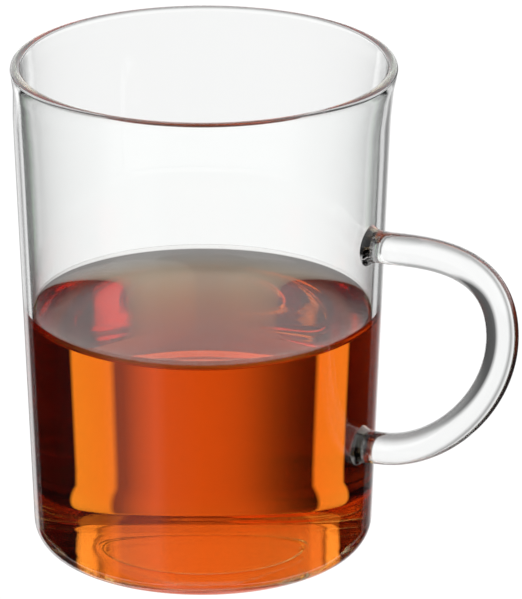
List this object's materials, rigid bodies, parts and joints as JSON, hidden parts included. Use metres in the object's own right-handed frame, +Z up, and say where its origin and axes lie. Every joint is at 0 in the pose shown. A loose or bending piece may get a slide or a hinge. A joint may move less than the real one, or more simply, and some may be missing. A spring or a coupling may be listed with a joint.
{
  "type": "glass mug of black tea",
  "caption": "Clear, slightly tapered glass mug with a looped glass-rod handle, half full of amber black tea.",
  "frame": {"origin": "on the table plane, at the centre of the foot's flat underside, on the mug's axis", "axes": "+Z up along the mug's axis, +X towards the handle"},
  "size_m": [0.1161, 0.0834, 0.1104],
  "materials": {
    "clear_glass": "clear, fire-polished",
    "black_tea": "clear amber liquid"
  },
  "bodies": {
    "root": {"glass_mug": "clear_glass", "tea": "black_tea"}
  },
  "joints": []
}
